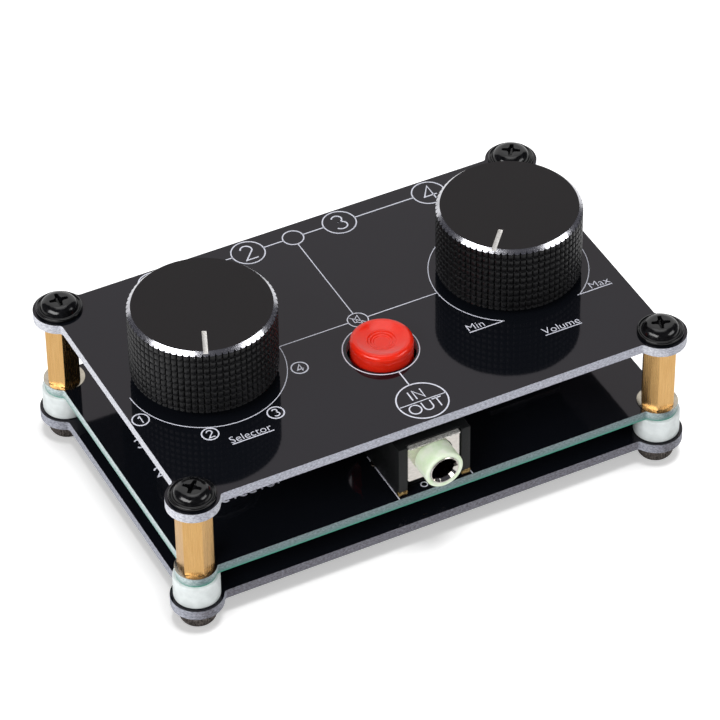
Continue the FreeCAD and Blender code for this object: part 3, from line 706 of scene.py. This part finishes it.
# %% The white tubes
nylon = grained("natural_nylon_tube", ("d3d9d9", "e3e9e9"), (0.38, 0.5), 1.5, Subsurface_Weight=0.3,
                Subsurface_Radius=(1.0, 1.0, 1.0), Subsurface_Scale=1.2 * mm)
tube_z0, tube_z1 = (corner[2] for corner in extent("nylon_spacers"))
tube_radius, tube_bore, lip = 3.5, 1.6, 0.25
lip_turn = np.radians([0, 30, 60, 90])
tube_r = np.concatenate([[tube_bore], tube_radius - lip + lip * np.sin(lip_turn),
                         tube_radius - lip + lip * np.cos(lip_turn), [tube_bore, tube_bore]])
tube_z = np.concatenate([[tube_z0], tube_z0 + lip * (1 - np.cos(lip_turn)),
                         tube_z1 - lip * (1 - np.sin(lip_turn)), [tube_z1, tube_z0]])
new_piece("spacers_nylon", [(*turned_surface(tube_r, tube_z, full_turn(64), place), nylon)
                            for place in corners.values()], "frame", ("nylon_spacers",))

# %% [markdown]
# ## Top screws
# Pan-head screws with a washer flange, zinc plated and lacquered black: a wet-looking gloss. The
# cross recess is a depth taken off the dome. It is deep where a point lies near either arm of the
# cross or near its middle, where the driver's core goes, and gets shallower towards the ends.

# %% Cross-recess screws
black_steel = grained("black_lacquered_steel", ("070708", "101012"), (0.1, 0.22), 0.7, relief=0.01,
                      Metallic=0.05)
cross_turns = {"front_left": 45.0, "front_right": 70.0, "rear_left": 84.0, "rear_right": 55.0}
flat_radius, shoulder_radius, shoulder_z = 1.4, 1.5, 0.25


def top_screw(corner):
    """Rows: shank, flange with a raised rim and a groove, then the dome, which is flat as far as
    1.4 mm and falls off as an arc of 1.5 mm; its height is lowered by the cross recess."""
    angles = full_turn(144)
    shoulder = np.radians(np.linspace(75, 12, 9))
    dome_r = np.concatenate([flat_radius + shoulder_radius * np.sin(shoulder), np.linspace(1.68, 0, 36)])
    past_flat = np.clip(dome_r - flat_radius, 0, shoulder_radius) / shoulder_radius
    dome_z = shoulder_z + shoulder_radius * np.sqrt(1 - past_flat ** 2)
    fixed_r = [0, 1.45, 1.45, 3.36, 3.48, 3.52, 3.48, 3.4, 3.3, 3.2, 3.06, 2.93]
    fixed_z = [-6.0, -6.0, 0.0, 0.0, 0.1, 0.34, 0.5, 0.58, 0.6, 0.55, 0.48, 0.5]
    radii = np.concatenate([fixed_r, dome_r])[:, None] * np.ones(len(angles))
    heights = np.concatenate([fixed_z, dome_z])[:, None] * np.ones(len(angles))
    local = angles - math.radians(cross_turns[corner])
    u, v = np.abs(radii * np.cos(local)), np.abs(radii * np.sin(local))
    near, along = np.minimum(u, v), np.maximum(u, v)
    arms = np.clip((0.4 - 0.1 * along - near) / 0.12, 0, 1) * np.clip((1.42 - along) / 0.14, 0, 1)
    core = np.clip((0.95 - u - v) / 0.25, 0, 1)
    depth = np.clip(1.4 - 0.55 * along, 0.3, 1.35) * np.maximum(arms, core)
    recess = np.where(np.arange(len(radii))[:, None] >= len(fixed_r), depth, 0)
    return turned_surface(radii, heights - recess + panel_z, angles, corners[corner])


new_piece("top_screws_cross", [(*top_screw(corner), black_steel) for corner in corners],
          "frame", ("top_screws",), crease=35)

# %% [markdown]
# ## Feet
# The feet are the knurled heads of socket screws in black oxide, a brownish matt black. Their
# ridges are a groove and a ridge repeated in the radius, and the lower edge is rounded.

# %% Socket screws as feet
oxide = grained("black_oxide_steel", ("4a4542", "918984"), (0.34, 0.55), 0.35, relief=0.01,
                Metallic=0.75)
shank_top = extent("foot_screws")[1][2]
ridges, ridge_height, head_radius, shank_radius = 40, 0.14, 2.75, 1.45
hexagon_radius, hexagon_depth = 1.25, 1.5


def foot_screw(place):
    """Knurled head with a hexagon socket below and a plain shank above."""
    angles = full_turn(ridges * 4)
    plain = np.ones(len(angles))
    ridge = np.tile([0.0, ridge_height, ridge_height, 0.0], ridges)
    hexagon = hexagon_radius / np.cos((angles + math.pi / 6) % (math.pi / 3) - math.pi / 6)
    shank = shank_radius * plain
    radii = np.vstack([0 * plain, hexagon, hexagon, 2.15 * plain, 2.45 * plain, 2.64 * plain - 0.5 * ridge,
                       head_radius - ridge, head_radius - ridge, 2.5 * plain, shank, shank, 0 * plain])
    heights = [hexagon_depth, hexagon_depth, 0.0, 0.0, 0.15, 0.4, 0.65, base_z - 0.16, base_z, base_z,
               shank_top, shank_top]
    return turned_surface(radii, heights, angles, place)


new_piece("foot_screws_knurled", [(*foot_screw(place), oxide) for place in corners.values()],
          "frame", ("foot_screws",), crease=30)

# %% [markdown]
# ## Jack finishes
# A 3.5 mm jack is a black glass-filled housing, a nickel-plated face plate and a coloured barrel
# round a metal sleeve. Glass fibres make the housing matt and grainy. Nickel is a warm grey
# mirror, rolled in one direction, and pale and grainy where it was sheared. The barrel's lime ABS
# is cloudy and lets light in. The anchors are brass stained by solder, the springs a dull gold.

# %% Jack materials
housing = grained("glass_filled_nylon", ("060708", "191b1c"), (0.45, 0.65), 0.2, relief=0.02,
                  Specular_IOR_Level=0.3)
nickel = grained("nickel_plated_steel", ("cdc8c2", "e2ddd6"), (0.04, 0.12), 0.6, relief=0.003,
                 stretch=(1, 1, 6), Metallic=1.0)
sheared = grained("sheared_nickel_edge", ("8c8a86", "f6f4f0"), (0.4, 0.6), 0.22, relief=0.02, Metallic=0.5)
lime = grained("moulded_lime_abs", ("dcf0cc", "f0fae6"), (0.28, 0.42), 1.6, Subsurface_Weight=0.3,
               Subsurface_Radius=(0.8, 1.0, 0.6), Subsurface_Scale=0.9 * mm)
solder_brass = grained("soldered_brass_anchor", ("54401f", "b79c68"), (0.2, 0.45), 0.5, relief=0.03,
                       Metallic=1.0)
contact_metal = grained("plated_contact_spring", ("b8a878", "d8cca8"), (0.25, 0.4), 0.8, Metallic=1.0)
print("jack finishes ready")

# %% [markdown]
# ## Jack shapes
# The plate is punched, so its left edge keeps small burrs, and its top edge is folded forward.
# It is a sheet between a round hole and a rectangle: at each angle a row of points runs from one
# to the other. Barrel and sleeve are turned about the jack's own axis, then laid down.

# %% Build the five jacks
jack_axis, jack_mouth, plate_front, plate_back = 15.7, 27.4, 23.8, 23.5
barrel_radius, barrel_bore, barrel_rounding = 3.05, 2.35, 0.3
sleeve_radius, sleeve_bore, sleeve_back = 2.3, 1.8, 20.9
plate_hole, plate_half_width, plate_half_height, fold_height = 3.1, 4.22, 3.4, 0.22


def on_its_side(points, x, facing):
    """Turn points made for a jack at the front to the jack's own side and place."""
    return points * (facing, facing, 1) + (x, 0, 0)


def laid(surface, x, facing):
    """Turn a part made about Z with its mouth up, so that it lies along Y and faces its side."""
    points, faces = surface
    lying = np.column_stack([points[:, 0], -points[:, 2], points[:, 1] + jack_axis])
    return on_its_side(lying, x, facing), faces


def face_plate(x, facing):
    """Rows from the round hole to the rectangle, r = min(a / |cos t|, b / |sin t|), forward over
    the folded lip, and back behind it."""
    angles = full_turn(144)
    reach = np.minimum(plate_half_width / np.maximum(np.abs(np.cos(angles)), 1e-6),
                       plate_half_height / np.maximum(np.abs(np.sin(angles)), 1e-6))
    share = np.array([0.0, 0.5, 0.85, 1.0])[:, None]
    radius = plate_hole * (1 - share) + reach * share
    u, w = radius * np.cos(angles), radius * np.sin(angles)
    left = (u < -plate_half_width + 0.02) & (np.abs(w) < plate_half_height - 0.1)
    u = np.where(left, u + 0.08 * np.sin(w * 11) - 0.05, u) + 0.08
    below = np.minimum(w, plate_half_height - fold_height)
    fold = 0.5 * np.clip((w[-1:] - plate_half_height + fold_height) / 0.1, 0, 1)
    front = np.stack([u, 0 * u - plate_front, below + jack_axis], -1)
    lip = np.stack([u[[-1, -1]], np.repeat(-plate_front - fold, 2, 0),
                    np.stack([below[-1], w[-1]]) + jack_axis], -1)
    back = np.stack([u, 0 * u - plate_back, w + jack_axis], -1)
    rows = np.concatenate([front, lip, back[::-1], front[:1]])
    points = on_its_side(rows.reshape(-1, 3), x, facing)
    flat, edge, rest = np.split(grid_faces(len(rows), len(angles)), [3 * len(angles), 6 * len(angles)])
    return [(points, flat, nickel), (points, edge, sheared), (points, rest, nickel)]


def jack(name, x, facing):
    """Barrel, sleeve, plate and anchors of one jack."""
    turn = full_turn(72)
    shield = (name + "_jack_shield",)
    bevel = np.radians(np.linspace(0, 90, 6))
    shoulder = barrel_radius - barrel_rounding
    barrel_r = np.concatenate([[barrel_bore, 3.04, 3.04, barrel_radius],
                               shoulder + barrel_rounding * np.cos(bevel), [2.5, barrel_bore, barrel_bore]])
    barrel_h = np.concatenate([[21.9, 21.9, jack_mouth - 1.15, jack_mouth - 1.0],
                               jack_mouth - barrel_rounding + barrel_rounding * np.sin(bevel),
                               [jack_mouth, jack_mouth - 0.12, 21.9]])
    new_piece(name + "_barrel_lime", [(*laid(turned_surface(barrel_r, barrel_h, turn), x, facing), lime)],
              "frame", (name + "_jack_barrel",), crease=40)
    sleeve_r = [sleeve_bore, sleeve_radius, sleeve_radius, 2.24, 2.14, sleeve_bore, sleeve_bore]
    sleeve_h = [sleeve_back, sleeve_back, jack_mouth - 0.1, jack_mouth - 0.04, jack_mouth - 0.06,
                jack_mouth - 0.6, sleeve_back]
    new_piece(name + "_plate_nickel", face_plate(x, facing), "frame", shield)
    new_piece(name + "_sleeve_nickel", [(*laid(turned_surface(sleeve_r, sleeve_h, turn), x, facing), nickel)],
              "frame", shield)
    leg = box_part((-0.35, -21.35, extent(shield[0])[0][2]), (0.35, -21.05, jack_axis - 2.05))
    anchors = [box_part((side * 5.2 - 0.85, -24.3, deck_z), (side * 5.2 + 0.85, -23.5, deck_z + 1.0))
               for side in (-1, 1)]
    for label, boxes, width in (("_leg", [leg], 0.08), ("_anchors", anchors, 0.38)):
        parts = [(on_its_side(points, x, facing), faces, solder_brass) for points, faces in boxes]
        applied(new_piece(name + label, parts, "frame", shield, crease=60),
                "BEVEL", width=width * mm, segments=4)
    eased_copy(name + "_jack_housing", housing, "frame", 0.25)
    dress(contact_metal, name + "_jack_leaves")


for name, (x, facing) in jack_places.items():
    jack(name, x, facing)

# %% [markdown]
# ## Components between the boards
# The rotary switch, the volume control and the push switch show only from the side: die-cast
# zinc front plates with a matt skin, moulded cases, brown phenolic paper wafers, bright turned
# steel shafts and white acetal, a waxy plastic that slides well.

# %% Dress the components
zinc = grained("die_cast_zinc", ("aeafb0", "c6c7c8"), (0.3, 0.5), 0.45, relief=0.01, Metallic=1.0)
phenolic = grained("phenolic_paper", ("4a2e1a", "7a5230"), (0.4, 0.6), 0.35, stretch=(1, 1, 3))
steel = grained("bright_turned_steel", ("b6b6b8", "d0d0d2"), (0.2, 0.38), 0.11,
                stretch=(0.04, 0.04, 1), Metallic=1.0)
acetal = grained("white_acetal", ("e0ded8", "f2f0ea"), (0.34, 0.46), 0.7, Subsurface_Weight=0.1,
                 Subsurface_Scale=0.5 * mm)
for node, material, body, slot in (
        ("selector_can", steel, "frame", "steel"), ("volume_case", housing, "frame", "case_plastic"),
        ("switch_case", housing, "frame", "case_plastic"), ("selector_front_plate", zinc, "frame", "zinc"),
        ("volume_front_plate", zinc, "frame", "zinc"), ("switch_plunger", acetal, "button", "switch_white")):
    eased_copy(node, material, body, 0.13)
dress(phenolic, "selector_stator", "volume_wafers")
dress(steel, "selector_shaft", "volume_shaft", "selector_detent_ball", "selector_detent_spring",
      "switch_spring", "selector_grub_screw", "volume_grub_screw")
dress(contact_metal, "selector_studs", "selector_bridge", "volume_pins", "volume_wipers", "switch_pins",
      "switch_sliders")
dress(acetal, "selector_rotor", "selector_detent_ring", "volume_wiper_discs")
print("components dressed")

# %% [markdown]
# ## Solder
# Below the main board each pin stands in a small cone of solder, bright and faintly dimpled as
# it cooled. Its profile is a fillet, wide at the board and hollow towards the pin. The pins'
# places are found on the CAD parts: the lowest points of each pin, gathered where they are near.

# %% Solder joints below the main board
solder = grained("tin_solder", ("b8b8ba", "d8d8da"), (0.14, 0.34), 0.4, relief=0.01, Metallic=1.0)


def pin_places():
    """Middles of the pin ends: the corners of each pin below 7.2 mm, gathered within 0.9 mm."""
    found = []
    for name in ("selector_studs", "volume_pins", "switch_pins", *[j + "_jack_leaves" for j in jack_places]):
        data = nodes[name].data
        co = np.empty(len(data.vertices) * 3)
        data.vertices.foreach_get("co", co)
        co = co.reshape(-1, 3) / mm
        ends = np.unique(co[co[:, 2] < 7.2][:, :2].round(3), axis=0)
        while len(ends):
            near = np.hypot(*(ends - ends[0]).T) < 0.9
            found.append(ends[near].mean(0))
            ends = ends[~near]
    return found + [(x, -facing * 21.2) for x, facing in jack_places.values()]


fillet = np.linspace(0, 1, 7)
joint_height = 1.1
joint_r = np.concatenate([[0], 0.42 + 0.5 * fillet ** 2, [0]])
joint_z = deck_low[2] - joint_height + joint_height * np.concatenate([[0], fillet ** 0.8, [1]])
new_piece("solder_joints", [(*turned_surface(joint_r, joint_z, full_turn(20), place), solder)
                            for place in pin_places()], "frame")

# %% [markdown]
# ## Floor and world
# A pale paper sweep, as in a product studio. Its own colour is a light grey that the lamps light,
# and it keeps the object's shadow. A little light of its own, which only the camera sees, makes
# it white in the picture without adding light to the object. The world is brighter for the
# camera and for reflections than for the object, for the same reason.

# %% Floor and world
sweep, sweep_tree, sweep_shader = bare_finish("studio_sweep_paper", Base_Color="ededed", Roughness=0.9,
                                              Specular_IOR_Level=0.0, Emission_Color="ffffff")
sweep_reach = 6000.0
sweep_corners = np.array([(-1, -1, 0), (1, -1, 0), (1, 1, 0), (-1, 1, 0)]) * sweep_reach
new_object("floor", joined_mesh("floor", [(sweep_corners, [(0, 1, 2, 3)], sweep)]))


def background_rays(tree, camera_level, mirror_level):
    """One strength for camera rays, another for glossy and transmission rays, else nothing."""
    rays = add_node(tree, "LightPath").outputs
    mirrored = add_node(tree, "Math", {0: rays["Is Glossy Ray"], 1: rays["Is Transmission Ray"]},
                        operation="MAXIMUM")
    seen = add_node(tree, "Math", {0: rays["Is Camera Ray"], 1: camera_level}, operation="MULTIPLY")
    return add_node(tree, "Math", {0: mirrored.outputs[0], 1: mirror_level, 2: seen.outputs[0]},
                    operation="MULTIPLY_ADD").outputs[0]


# the paper's own light rises with the distance, since the lamps don't reach its far end
place = add_node(sweep_tree, "TexCoord").outputs["Object"]
away = add_node(sweep_tree, "VectorMath", {0: place}, operation="LENGTH").outputs["Value"]
own_light = add_node(sweep_tree, "MapRange", {0: away, 1: 0.1, 2: 0.6, 3: 0.46, 4: 1.0}).outputs[0]
set_sockets(sweep_shader, {"Emission Strength": background_rays(sweep_tree, own_light, 0.0)})
world = bpy.data.worlds.new("studio")
bpy.context.scene.world = world
world.use_nodes = True
world_tree = world.node_tree
world_tree.nodes.clear()
ambient = 0.28
white = background_rays(world_tree, 1.0 - ambient, 1.0 - ambient)
strength = add_node(world_tree, "Math", {0: white, 1: ambient}, operation="ADD").outputs[0]
sky = add_node(world_tree, "Background", {"Color": (1, 1, 1, 1), "Strength": strength})
add_node(world_tree, "OutputWorld", {"Surface": sky.outputs[0]})
print("floor and world ready")

# %% [markdown]
# ## Flags
# A studio hangs dark cloth round shiny things, so that metal shows dark beside its highlights
# and doesn't go flat white. Here it is part of a sphere, x = R cos a cos e, y = R sin a cos e,
# z = R sin e, round the front and the sides. Only reflections see it.

# %% Dark cloth round the front
flag_radius, flag_columns, flag_rows = 2200.0, 33, 13
flag_turn, flag_rise = np.meshgrid(np.radians(np.linspace(114, 384, flag_columns)),
                                   np.radians(np.linspace(-2, 88, flag_rows)))
dome = flag_radius * np.stack([np.cos(flag_turn) * np.cos(flag_rise), np.sin(flag_turn) * np.cos(flag_rise),
                               np.sin(flag_rise)], -1).reshape(-1, 3)
cloth = bare_finish("grey_flag_cloth", Base_Color="000000", Roughness=1.0, Emission_Color="45454b",
                    Emission_Strength=1.0)[0]
flags = new_object("flags", joined_mesh("flags", [(dome, grid_faces(flag_rows, flag_columns, wrap=False),
                                                   cloth)]))
flags.visible_camera = flags.visible_diffuse = flags.visible_shadow = flags.visible_transmission = False
print("flags ready")

# %% [markdown]
# ## Lamps
# Two soft boxes and an overhead panel. A long box at the left makes the bright band on the
# knobs' chamfers and lights the left sides; a smaller one at the right makes the second band.
# Both are kept off the paper, which has a lamp of its own high above, so that the object's only
# shadow is a short soft one round its foot. The glow of an area lamp in Cycles is its power over
# four times its area, so the power is worked out from the glow that the highlight should have.

# %% Soft boxes
def look_axes(back):
    """Right, up and backward axes of something that looks along -back with no roll."""
    right = np.cross((0, 0, 1), back)
    right /= np.linalg.norm(right)
    return right, np.cross(back, right), back


def aimed(name, data, place, axes):
    """A lamp or camera at a place in metres, with these right, up and backward axes."""
    made = new_object(name, data)
    made.matrix_world = Matrix.Translation(place) @ Matrix(np.column_stack(axes).tolist()).to_4x4()
    return made


def soft_box(name, azimuth, elevation, distance, width, height, glow, paper=None):
    """A rectangular area light at that direction from the object, facing it. paper is INCLUDE
    for a lamp that lights the paper alone and EXCLUDE for one that lights all but the paper."""
    light = bpy.data.lights.new(name, "AREA")
    light.shape, light.size, light.size_y = "RECTANGLE", width, height
    light.energy = glow * 4 * width * height
    a, e = math.radians(azimuth), math.radians(elevation)
    back = np.array([math.cos(a) * math.cos(e), math.sin(a) * math.cos(e), math.sin(e)])
    lamp = aimed(name, light, back * distance, look_axes(back))
    lamp.visible_camera = False
    if paper:
        group = bpy.data.collections.new(name + "_link")
        group.objects.link(bpy.data.objects["floor"])
        lamp.light_linking.receiver_collection = group
        group.collection_objects[0].light_linking.link_state = paper


soft_box("left_soft_box", 200, 38, 0.5, 0.46, 0.2, 5.2, "EXCLUDE")
soft_box("right_soft_box", 319, 33, 0.6, 0.36, 0.2, 3.0, "EXCLUDE")
soft_box("overhead_soft_box", 60, 80, 0.9, 0.5, 0.5, 0.9)
soft_box("paper_soft_box", 330, 86, 1.2, 0.5, 0.5, 12.0, "INCLUDE")
print("lamps ready")

# %% [markdown]
# ## Camera
# A long lens about 64 cm away looks down at 41 degrees from the front left, rolled by less than a
# degree. Its axes are worked out from those angles and put in its matrix.

# %% Camera
azimuth, elevation, roll = math.radians(-26.592), math.radians(41.224), math.radians(-0.776)
distance = 0.63703
target = np.array([-0.00395, -0.00817, 0.0238])
back = np.array([math.sin(azimuth) * math.cos(elevation), -math.cos(azimuth) * math.cos(elevation),
                 math.sin(elevation)])
level_right, level_up = look_axes(back)[:2]
right = math.cos(roll) * level_right + math.sin(roll) * level_up
up = -math.sin(roll) * level_right + math.cos(roll) * level_up
camera_data = bpy.data.cameras.new("camera")
camera_data.sensor_width = 36.0
camera_data.lens = 216.892
camera_data.clip_start, camera_data.clip_end = 0.05, 20
camera = aimed("camera", camera_data, target + back * distance, (right, up, back))
bpy.context.scene.camera = camera
bpy.context.scene.view_settings.view_transform = "Standard"
print("camera at", [round(c, 4) for c in camera.location])
